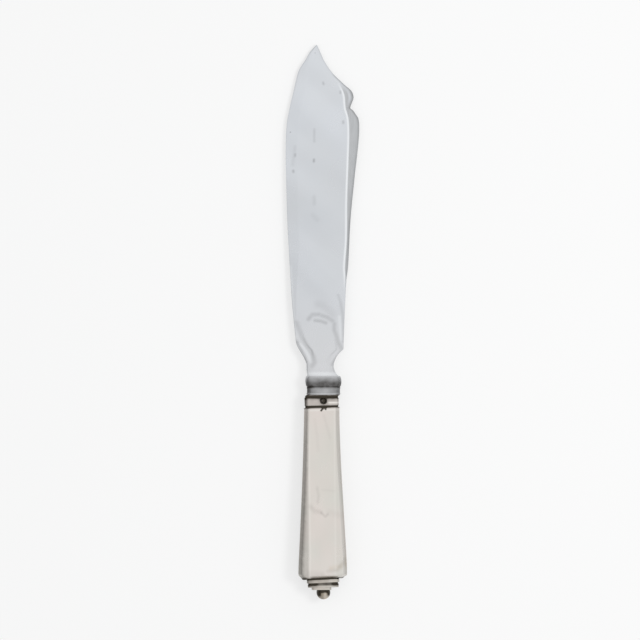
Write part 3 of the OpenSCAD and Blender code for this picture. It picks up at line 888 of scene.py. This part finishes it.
def seam_tarnish_and_shade(x, y):
    """Tarnish and painted shade against the collar, in the teeth and in the angle over the first step, with
    a wider painted shade above that angle.
    """
    end_w = mix(0.65, 1.3, ramp(abs(x), 5.5, 7.5))
    patina_and_shade = 0.8 * bump_at(y - SHELL_TOP, 0.65) + bump_at(y - SHELL_END, end_w)
    if y > SHELL_TOP - TOOTH_LEN - 0.4:
        patina_and_shade += 0.9 * min(1, -tooth_relief(x, y) / TOOTH_DEPTH)
    return patina_and_shade + 0.14 * bump_at(y - SHELL_END, 2.6)


def painted_side_shade(x, y, down):
    """Painted shade on the left side with its darker facet, on the shoulder's left, at the end's corners and
    along the right rim.
    """
    left, right = -x - handle_half_w(y), x - handle_half_w(y)
    side = 0.22 * ramp(-x, FACE_W / 2 - 0.2, FACE_W / 2 + 1.2) * eased(down + 0.25)
    facet = 0.09 * ramp(left, -FACET_W, 0.4 - FACET_W) + 0.26 * bump_at(left + FACET_W + 0.2, 1.2)
    shoulder = 0.25 * ramp(y, SHOULDER_TOP, SHOULDER_TOP - 1.2) * ramp(left, -2.6, -1.2)
    end = ramp(abs(x), 7, 8.2) * ramp(y, SHELL_END + 0.75, SHELL_END + 0.25)
    end *= LEFT_END_SHADE if x < 0 else RIGHT_END_SHADE
    rim_shade = 0.1 * ramp(right, -0.9, -0.5) * eased(down * 3)
    return side + facet + shoulder + end + rim_shade


def shell_wear_and_sheen(x, y, down):
    """Bright worn edges of the face with painted highlights on them, and painted highlights on the inner
    line of the right facet and at the top.
    """
    edge = bump_at(abs(x) - FACE_W / 2 + 0.1, EDGE_WEAR_AND_SHEEN_W)
    edge *= LEFT_EDGE_WEAR_AND_SHEEN if x < 0 else RIGHT_EDGE_WEAR_AND_SHEEN
    inner = 0.8 * bump_at(x - handle_half_w(y) + FACET_W - 0.3, 0.8) * eased(down * 2 - 0.3)
    return max(edge, inner, 0.8 * bump_at(y - SHELL_TOP + 1.2, 0.7))


def shell_tone(x, y, smudges, stains):
    down = clamp((SHELL_TOP - y) / SHELL_LEN, 0, 1)
    patina_and_shade = seam_tarnish_and_shade(x, y) + painted_side_shade(x, y, down)
    patina_and_shade += sum(mark_at(x, y, mark) for mark in smudges)
    stain = sum(mark_at(x, y, mark) for mark in stains)
    return min(MOST_DARKENING, patina_and_shade), shell_wear_and_sheen(x, y, down), stain


def dark_tone(*place):
    return 1, 0, 0


# Collar
COLLAR_COUNTS = [3, 3, 24, 3, 3, 8]
COLLAR_BEVEL = 0.12
TOP_GROOVE_W = 1.45
COLLAR_FACE_STEPS = 9


def collar_ring(half_w, half_t, facet_w, reach=0.15):
    upper = half_section(half_w, half_t, facet_w)
    lower = [(x, -z) for x, z in reversed(upper)]
    return rounded(upper + lower, reach, COLLAR_COUNTS, closed=True)


def slot_ring(ring, half_w, half_t):
    """A rectangle whose points lie in line with those of the ring round it."""
    points = []
    for x, z in ring:
        scale = min(half_w / max(abs(x), 1e-6), half_t / max(abs(z), 1e-6))
        points.append((x * scale, z * scale))
    return points


def groove_rows(wide):
    """Rows of a groove as (depth below the collar's end, how far inside the handle's faces)."""
    sunk = COLLAR_INSET + GROOVE_DEPTH
    return [
        (0, sunk), (wide * 0.4, sunk), (wide - COLLAR_BEVEL, sunk),
        (wide, COLLAR_INSET + COLLAR_BEVEL / 2), (wide + COLLAR_BEVEL, COLLAR_INSET),
        (wide + 4 * COLLAR_BEVEL, COLLAR_INSET),
    ]


def collar_rows():
    top = [(-down, inset) for down, inset in groove_rows(TOP_GROOVE_W)]
    low = [(down - COLLAR_LEN, inset) for down, inset in reversed(groove_rows(GROOVE_W))]
    shares = [k / COLLAR_FACE_STEPS for k in range(1, COLLAR_FACE_STEPS)]
    return top + [(mix(top[-1][0], low[0][0], t), COLLAR_INSET) for t in shares] + low


COLLAR_PATINA = 0.3
# The painted highlight line beside the bead
COLLAR_HIGHLIGHT_Y = -3.8


def collar_groove_tarnish_and_shade(y):
    """Tarnish and painted shade in the two grooves, fading out over the face under the top one."""
    top = 1.12 * ramp(y, 0.2, -0.6) * ramp(y, -TOP_GROOVE_W - 0.35, -TOP_GROOVE_W - 0.05)
    low = 1.05 * ramp(COLLAR_LEN + y, GROOVE_W * 1.25, GROOVE_W * 0.75)
    return max(top, low, 0.4 * ramp(y, -TOP_GROOVE_W - 1.5, -TOP_GROOVE_W))


def collar_tone(x, y, z):
    # Painted shade on the collar's left end, tarnish and painted shade in the bead's pocket, and a painted
    # highlight line beside the bead
    left = 0.42 * ramp(-x, BAND_W / 2 - 1.4, BAND_W / 2 - 0.8)
    from_bead = hypot(x - BEAD_X, y - BEAD_Y) - BEAD_R - BEAD_GAP
    pocket = 0.75 * ramp(from_bead, 0.18, -0.12) + 0.2 * bump_at(from_bead, 1.6)
    line = min(1, 1.6 * bump_at(y - COLLAR_HIGHLIGHT_Y, 0.6)) * ramp(x - BEAD_X, 1.9, 2.7)
    return clamp(COLLAR_PATINA + collar_groove_tarnish_and_shade(y) + left + pocket - 0.45 * line, 0, 1.3), line, 0


def make_collar():
    outline = [(y, inset, COLLAR_FACET_W) for y, inset in collar_rows()]
    outline += [(y, WALL + FIT_GAP, FACET_W) for y in (SHELL_TOP, SHELL_TOP - SPIGOT_LEN)]
    rows = [
        level(y, collar_ring(handle_half_w(y) - inset, handle_half_t(y) - inset, facet_w))
        for y, inset, facet_w in outline
    ]
    slot = slot_ring([(x, z) for x, _, z in rows[0]], TANG_W / 2 + FIT_GAP, TANG_THICK / 2 + FIT_GAP)
    rows += [level(SHELL_TOP - SPIGOT_LEN, slot), level(0, slot)]
    skin = Skin()
    skin.grid(rows, collar_tone, loop=True)
    collar = skin.piece("ring_collar")
    for side in (1, -1):
        cut(collar, pocket_cutter(side))
    set_tones(collar.data, [collar_tone(*unlaid(v.co)) for v in collar.data.vertices])
    return collar


# Turned pieces: rings round the z axis of the knife, or round its long axis
TURN_STEPS = 48
TURNS = [2 * pi * k / TURN_STEPS for k in range(TURN_STEPS)]
BEAD_STEPS = 14
BALL_STEPS = 28
POCKET_FLOOR = handle_half_t(BEAD_Y) - COLLAR_INSET - POCKET_DEPTH
POCKET_BEVEL = 0.15
POLE_R = 0.02


def face_ring(radius, height, side):
    return [(BEAD_X + radius * cos(t), BEAD_Y + radius * sin(t), side * height) for t in TURNS]


def end_ring(radius, y):
    return [(radius * cos(t), y, radius * sin(t)) for t in TURNS]


def turned(name, rows, tone):
    skin = Skin()
    skin.body(rows, tone)
    return skin.piece(name)


def pocket_cutter(side):
    radius, top = BEAD_R + BEAD_GAP, POCKET_FLOOR + POCKET_DEPTH
    profile = [
        (radius, POCKET_FLOOR), (radius, top - POCKET_BEVEL), (radius + POCKET_BEVEL, top),
        (radius + POCKET_BEVEL * 3, top + POCKET_BEVEL * 2),
    ]
    return turned("cutter", [face_ring(r, h, side) for r, h in profile], dark_tone)


def bead_tone(x, y, z):
    edge = ramp(hypot(x - BEAD_X, y - BEAD_Y), BEAD_R * 0.35, BEAD_R * 0.75)
    return clamp(0.99 - 0.12 * edge + 0.4 * ramp(y, BEAD_Y, BEAD_Y + BEAD_R), 0, MOST_DARKENING), 0, 0


def make_bead(side, name):
    """The cap of a ball, on the floor of its pocket."""
    centre = POCKET_FLOOR + BEAD_HEIGHT - BEAD_R
    low = asin((POCKET_FLOOR - centre) / BEAD_R)
    rows = []
    for k in range(BEAD_STEPS):
        turn = mix(low, pi / 2, k / BEAD_STEPS)
        rows.append(face_ring(BEAD_R * cos(turn), centre + BEAD_R * sin(turn), side))
    rows.append(face_ring(POLE_R, centre + BEAD_R, side))
    return turned(name, rows, bead_tone)


def ball_tone(x, y, z):
    """Painted shade and tarnish in the crevice under the boss, painted shade on both sides, and more of it
    on the left.
    """
    up = y - BALL_Y
    crevice = 1.2 * ramp(up, -0.418, 0.682)
    side = 1.1 * ramp(abs(x - 0.2), BALL_R * 0.28, BALL_R * 0.7) * ramp(up, -2.73, -0.13)
    left_shade = 0.36 * ramp(x, 0.9, -0.3)
    return clamp(0.17 + crevice + side + left_shade, 0, MOST_DARKENING), 0, 1


def make_ball():
    """The ball with its seat and the peg that holds it."""
    top = asin((BALL_R - BALL_SEAT) / BALL_R)
    rows = [end_ring(POLE_R, BALL_Y - BALL_R)]
    for k in range(1, BALL_STEPS + 1):
        turn = mix(-pi / 2, top, k / BALL_STEPS)
        rows.append(end_ring(BALL_R * cos(turn), BALL_Y + BALL_R * sin(turn)))
    rows += [end_ring(PEG_R, BALL_SEAT_Y), end_ring(PEG_R, BALL_SEAT_Y + PEG_LEN)]
    return turned("ball_drop", rows, ball_tone)


# Steps
STEP_ROUND = 0.22
STEP_COUNTS = (20, 10)
BOSS_SHIFT = -0.9
STEP_GRIND = 0.3


def edge_rows(end, up, half_w, half_t):
    """Rows of a plate's rounded edge, from its side to its end; up is where the side lies."""
    shares = [(1, 0), (0.3, 0.3), (0, 1)]
    return [
        (end + up * STEP_ROUND * along, half_w - STEP_ROUND * inset, half_t - STEP_ROUND * inset)
        for along, inset in shares
    ]


def step_profile(top, size):
    """Rows as (height, half width, half thickness) of a sunk neck and the plate under it."""
    length, half_w, half_t = size[0], size[1] / 2, size[2] / 2
    low = top - STEP_NECK_LEN
    neck = (half_w - STEP_NECK_INSET, half_t - STEP_NECK_INSET)
    edge = edge_rows(low, -1, half_w, half_t)[::-1]
    return [(top, *neck), (low, *neck)] + edge + edge_rows(low - length, 1, half_w, half_t)


def boss_profile():
    half_w, half_t = BOSS[1] / 2, BOSS[2] / 2
    return [(BOSS_TOP, half_w, half_t)] + edge_rows(BALL_SEAT_Y, 1, half_w, half_t)


def make_step(name, plates, tone):
    """A step bored for the peg; each of its plates is (profile, shift to the back)."""
    rows = []
    for profile, shift in plates:
        for y, half_w, half_t in profile:
            ring = box_ring(half_w, half_t, STEP_CORNER, STEP_COUNTS)
            rows.append(level(y, [(x + shift, z) for x, z in ring]))
    radius = PEG_R + FIT_GAP
    bore = [(x * radius / hypot(x, z), z * radius / hypot(x, z)) for x, _, z in rows[0]]
    rows += [level(rows[-1][0][1], bore), level(rows[0][0][1], bore)]
    skin = Skin()
    skin.grid(rows, tone, loop=True)
    return skin.piece(name)


def step_tone_at(top, length, sunk, left, right, middle, lag):
    """Darkening of a step, tarnish and painted shade: the neck over it is the darkest, and its ends are
    shaded, the left one more.
    """
    low = top - STEP_NECK_LEN

    def tone(x, y, z):
        depth = mix(sunk, 1.2, ramp(abs(x), 2.5, 5.5))
        neck = depth * ramp(y + lag, low - 0.315, low + 0.035)
        edge = 0.12 * bump_at(y - low + length, 0.5)
        boss = ramp(y, BOSS_TOP + 0.2, BOSS_TOP - 0.1)
        end_shade = (left * ramp(-x, 1, 7.5) + right * ramp(x, 1, 7.5)) * (1 - 0.6 * boss)
        centre = middle * ramp(abs(x), 4.5, 1.5)
        return clamp(neck + edge + end_shade + centre + 0.15 * boss, 0, MOST_DARKENING), 0, STEP_GRIND
    return tone


# Materials
STEEL = (0.655, 0.68, 0.715)
STEEL_CLOUD = (0.64, 0.655, 0.665)
STEEL_STRIP = (0.475, 0.487, 0.5)
STEEL_HEEL = (0.665, 0.672, 0.688)
STEEL_PIT = (0.2, 0.2, 0.2)
STEEL_DARK = (0.05, 0.046, 0.043)
STEEL_HIGHLIGHT = (0.85, 0.87, 0.89)
SILVER = (0.715, 0.675, 0.635)
SILVER_PATCH = (0.675, 0.668, 0.62)
SILVER_BLUSH = (0.74, 0.66, 0.625)
SILVER_WARM = (0.62, 0.53, 0.42)
SILVER_DARK = (0.05, 0.043, 0.033)
SILVER_WEAR_AND_SHEEN = (0.8, 0.77, 0.73)
CEMENT_DARK = (0.16, 0.15, 0.135)
CEMENT_LIGHT = (0.34, 0.32, 0.29)


def times(colour, factor):
    return tuple(c * factor for c in colour)


class Nodes:
    """A node tree, and short ways to add nodes to it."""

    def __init__(self, tree):
        self.tree = tree

    def first(self, kind):
        return next(n for n in self.tree.nodes if n.type == kind)

    def node(self, kind, **inputs):
        node = self.tree.nodes.new("ShaderNode" + kind)
        for key, value in inputs.items():
            self.join(value, node.inputs[key.replace("_", " ")])
        return node

    def join(self, value, socket):
        if isinstance(value, bpy.types.NodeSocket):
            self.tree.links.new(value, socket)
        else:
            socket.default_value = value

    def math(self, operation, a, b):
        node = self.node("Math")
        node.operation = operation
        self.join(a, node.inputs[0])
        self.join(b, node.inputs[1])
        return node.outputs[0]


class Shader(Nodes):
    """A material that starts in one colour and is painted over with others."""

    def __init__(self, name, colour):
        self.material = bpy.data.materials.new(name)
        self.material.use_nodes = True
        super().__init__(self.material.node_tree)
        self.surface = self.first("BSDF_PRINCIPLED")
        self.colour = colour

    def places(self, scale, turn=0.0):
        """Object coordinates stretched by scale, after a turn about the vertical."""
        coords = self.node("TexCoord")
        spin = self.node("Mapping", Vector=coords.outputs["Object"], Rotation=(0, 0, turn))
        return self.node("Mapping", Vector=spin.outputs["Vector"], Scale=scale).outputs["Vector"]

    def noise(self, scale, turn=0.0, detail=3.0, roughness=0.5):
        place = self.places(scale, turn)
        node = self.node("TexNoise", Vector=place, Scale=1.0, Detail=detail, Roughness=roughness)
        return node.outputs["Fac"]

    def height_along(self):
        """The place along the knife."""
        return self.node("SeparateXYZ", Vector=self.places((1, 1, 1))).outputs["Y"]

    def ranged(self, value, low, high, to_low=0.0, to_high=1.0):
        node = self.node("MapRange", Value=value, From_Min=low, From_Max=high, To_Min=to_low, To_Max=to_high)
        return node.outputs["Result"]

    def blend(self, share, a, b, mode="MIX"):
        node = self.node("Mix")
        node.data_type = "RGBA"
        node.blend_type = mode
        self.join(share, node.inputs["Factor"])
        for value, socket in ((a, node.inputs[6]), (b, node.inputs[7])):
            self.join(value if isinstance(value, bpy.types.NodeSocket) else (*value, 1), socket)
        return node.outputs[2]

    def paint(self, share, colour, mode="MIX"):
        self.colour = self.blend(share, self.colour, colour, mode)

    def tone(self, name):
        node = self.node("Attribute")
        node.attribute_name = name
        return node.outputs["Fac"]

    def darken(self, dirt, mottle):
        """Paints the darkening tone, tarnish and painted shade, which the mottle breaks up."""
        self.paint(self.math("MINIMUM", self.math("MULTIPLY", self.tone("patina_and_shade"), mottle), 1.0), dirt)

    def specks(self, scale, size):
        """Small round pits, one in some of the cells of a random pattern."""
        cells = self.node("TexVoronoi", Vector=self.places((scale, scale, scale)), Scale=1.0)
        return self.ranged(cells.outputs["Distance"], size * 0.6, size, 1, 0)

    def bump(self, height, strength, distance):
        node = self.node("Bump", Height=height, Strength=strength, Distance=distance)
        self.join(node.outputs["Normal"], self.surface.inputs["Normal"])

    def finish(self, rough, metallic=1.0):
        self.join(self.colour, self.surface.inputs["Base Color"])
        self.join(rough, self.surface.inputs["Roughness"])
        self.join(metallic, self.surface.inputs["Metallic"])
        return self.material


# Turns of the patterns about the vertical
HAZE_TURN = radians(-48)
WAVE_TURN = radians(-42)
BLUSH_TURN = radians(35)
DENT_TURN = radians(-12)
# Where along the knife the heel's tone fades out and the blade's light end fades in
HEEL_FADE = (-20 * MM, 25 * MM)
SHADE_FADE = (68 * MM, 104 * MM)


def steel_material():
    """Pale satin steel with faint diagonal haze, a ground strip, pits, dark patina with painted shade, and
    painted highlights.
    """
    s = Shader("satin_steel", times(STEEL, 0.955))
    s.paint(s.ranged(s.noise((70, 14, 70), HAZE_TURN, 1), 0.35, 0.65), times(STEEL, 1.03))
    s.paint(s.ranged(s.noise((30, 22, 30), 0, 1), 0.4, 0.7, 0, 0.5), STEEL_CLOUD)
    s.paint(1.0, s.ranged(s.height_along(), *SHADE_FADE, 0.975, 1.045), "MULTIPLY")
    s.paint(s.ranged(s.height_along(), *HEEL_FADE, 0.9, 0), STEEL_HEEL)
    # Painted highlights where the brightening tone says
    s.paint(s.tone("wear_and_highlight"), STEEL_HIGHLIGHT)
    grain = s.ranged(s.noise((1400, 160, 900), 0, 2), 0.3, 0.7)
    s.paint(s.tone("grind"), s.blend(grain, STEEL_STRIP, times(STEEL_STRIP, 1.1)))
    pits = s.math("MULTIPLY", s.specks(110, 0.055), s.ranged(s.noise((40, 30, 40), 0, 1), 0.5, 0.56))
    s.paint(s.math("MULTIPLY", pits, 0.45), STEEL_PIT)
    s.darken(STEEL_DARK, s.ranged(s.noise((350, 420, 350), 0, 4), 0.3, 0.7, 0.85, 1.1))
    s.bump(s.noise((150, 22, 150), WAVE_TURN, 1), 0.02, 0.0001)
    return s.finish(s.ranged(s.noise((40, 90, 40), HAZE_TURN, 1), 0.3, 0.7, 0.25, 0.33))


def silver_material():
    """Worn silver: soft mottling, bright worn edges with painted highlights, and brown-black tarnish with
    painted shade.
    """
    s = Shader("worn_silver", SILVER)
    s.paint(s.ranged(s.noise((70, 45, 70), 0, 1), 0.35, 0.68), SILVER_PATCH)
    s.paint(s.ranged(s.noise((52, 38, 52), BLUSH_TURN, 1), 0.46, 0.68, 0, 0.5), SILVER_BLUSH)
    grain = s.ranged(s.noise((500, 500, 500)), 0.3, 0.6, 0.4, 1)
    s.paint(s.math("MULTIPLY", s.tone("grind"), grain), SILVER_WARM)
    # Worn edges and painted highlights
    s.paint(s.tone("wear_and_highlight"), SILVER_WEAR_AND_SHEEN)
    s.darken(SILVER_DARK, s.ranged(s.noise((420, 380, 420), 0, 4, 0.6), 0.3, 0.7, 0.8, 1.15))
    s.bump(s.noise((140, 34, 140), DENT_TURN, 1), 0.02, 0.0001)
    return s.finish(s.ranged(s.noise((120, 60, 120), 0, 2), 0.3, 0.7, 0.27, 0.36))


def cement_material():
    """Grey filling cement: grainy and dull."""
    s = Shader("grey_cement", CEMENT_DARK)
    grain = s.noise((900, 900, 900), 0, 6, 0.7)
    s.paint(grain, CEMENT_LIGHT)
    s.bump(grain, 0.5, 0.0004)
    return s.finish(s.ranged(s.noise((300, 300, 300)), 0.3, 0.7, 0.8, 0.95), metallic=0.0)


# Floor, light and camera
FLOOR_HALF = 6.0
FLOOR_DROP = 0.02 * MM
FLOOR_TONE = (0.8, 0.8, 0.8)
FLOOR_GLOW = 0.66
GLOW_TONE = (0.97, 0.972, 0.972, 1)
PHOTO_SPAN = 311.6 * MM
VIEW_CENTRE = (-1.22 * MM, 0.85 * MM)
VIEW_HEIGHT = 1.5
MIDDLE_HEIGHT = LAY_RISE * MM
SENSOR = 36.0


def make_floor():
    mesh = bpy.data.meshes.new("floor")
    h, z = FLOOR_HALF, -FLOOR_DROP
    mesh.from_pydata([(-h, -h, z), (h, -h, z), (h, h, z), (-h, h, z)], [], [(0, 1, 2, 3)])
    s = Shader("white_ground", times(FLOOR_TONE, 0.99))
    s.paint(s.ranged(s.noise((6, 6, 6)), 0.3, 0.7), FLOOR_TONE)
    mesh.materials.append(s.finish(0.9, metallic=0.0))
    s.surface.inputs["Specular IOR Level"].default_value = 0.0
    lift_ground(s)
    placed("floor", mesh)


def lift_ground(s):
    """Lightens the ground for the camera alone, so that its shadows stay but are faint."""
    path = s.node("LightPath")
    glow = s.node("Emission", Color=GLOW_TONE)
    share = s.math("MULTIPLY", path.outputs["Is Camera Ray"], FLOOR_GLOW)
    blend = s.node("MixShader", Fac=share)
    s.join(s.surface.outputs[0], blend.inputs[1])
    s.join(glow.outputs[0], blend.inputs[2])
    s.join(blend.outputs[0], s.first("OUTPUT_MATERIAL").inputs["Surface"])


# How much the tent's light falls off towards its middle, its left and its right
LOSS_MIDDLE = 0.1
LOSS_LEFT = 0.58
LOSS_RIGHT = 0.28
LOSS_POWER = 0.9
# The level at which the camera sees the tent itself
WORLD_SEEN = 0.94
KEY_PLACE = (0.52, 0.1, 0.85)
KEY_SIZE = 0.3
KEY_POWER = 3.2


def make_world():
    """A studio tent: bright overhead, falling off towards the horizon, the most on the left."""
    world = bpy.data.worlds.new("tent")
    bpy.context.scene.world = world
    world.use_nodes = True
    sky = Nodes(world.node_tree)
    math = sky.math
    way = sky.node("TexCoord").outputs["Generated"]
    x, _, z = sky.node("SeparateXYZ", Vector=way).outputs
    up = math("MAXIMUM", z, 0.0)
    flat = math("MAXIMUM", math("SUBTRACT", 1.0, math("MULTIPLY", up, up)), 1e-4)
    side = math("DIVIDE", x, math("SQRT", flat, 0.0))
    lean = math("MAXIMUM", math("MULTIPLY", side, LOSS_RIGHT), math("MULTIPLY", side, -LOSS_LEFT))
    lean = math("ADD", lean, LOSS_MIDDLE)
    depth = math("MAXIMUM", math("SUBTRACT", 1.0, up), 1e-5)
    loss = math("MULTIPLY", math("POWER", depth, LOSS_POWER), lean)
    seen = sky.node("LightPath").outputs["Is Camera Ray"]
    lit = math("MULTIPLY", math("SUBTRACT", 1.0, loss), math("SUBTRACT", 1.0, seen))
    level = math("ADD", lit, math("MULTIPLY", seen, WORLD_SEEN))
    background = sky.first("BACKGROUND")
    sky.join(level, background.inputs["Color"])
    sky.join(1.0, background.inputs["Strength"])


def make_key_light():
    """A large soft lamp high on the right."""
    lamp = bpy.data.lights.new("key", "AREA")
    lamp.shape = "DISK"
    lamp.size = KEY_SIZE
    lamp.energy = KEY_POWER
    key = placed("key", lamp)
    key.location = KEY_PLACE
    key.visible_glossy = False
    key.rotation_euler = (-key.location).to_track_quat("-Z", "Y").to_euler()


def make_camera():
    """A camera straight above, as the photograph was taken."""
    data = bpy.data.cameras.new("camera")
    data.sensor_width = SENSOR
    data.lens = SENSOR * (VIEW_HEIGHT - MIDDLE_HEIGHT) / PHOTO_SPAN
    camera = placed("camera", data)
    camera.location = (*VIEW_CENTRE, VIEW_HEIGHT)
    bpy.context.scene.camera = camera


def make_pieces():
    steel = steel_material()
    silver = silver_material()
    dress(make_blade(), steel, "blade_steel", "blade")
    dress(make_collar(), silver, "handle_silver", "collar")
    dress(make_shell(1, "front_shell"), silver, "handle_silver", "handle_front")
    dress(make_shell(-1, "back_shell"), silver, "handle_silver", "handle_back")
    dress(make_bead(1, "bead_front"), silver, "bead_silver", "front_bead")
    dress(make_bead(-1, "bead_back"), silver, "bead_silver", "back_bead")
    # Painted shade on the steps: deepest at their sunk necks and at their left ends
    tone = step_tone_at(FIRST_TOP, FIRST_STEP[0], sunk=1.2, left=0.5, right=0.1, middle=0.2, lag=0)
    first = make_step("upper_step", [(step_profile(FIRST_TOP, FIRST_STEP), 0)], tone)
    dress(first, silver, "handle_silver", "first_step")
    lower = [(step_profile(SECOND_TOP, SECOND_STEP), 0), (boss_profile(), BOSS_SHIFT)]
    tone = step_tone_at(SECOND_TOP, SECOND_STEP[0], sunk=0.85, left=0.5, right=0.1, middle=0, lag=0.2)
    second = make_step("lower_step", lower, tone)
    dress(second, silver, "handle_silver", "second_step")
    dress(make_ball(), silver, "handle_silver", "ball_finial")
    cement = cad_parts["filling_cement"]
    cement.data.materials.clear()
    cement.data.materials.append(cement_material())


make_camera()
make_pieces()
make_floor()
make_world()
make_key_light()
bpy.context.scene.view_settings.view_transform = "Standard"
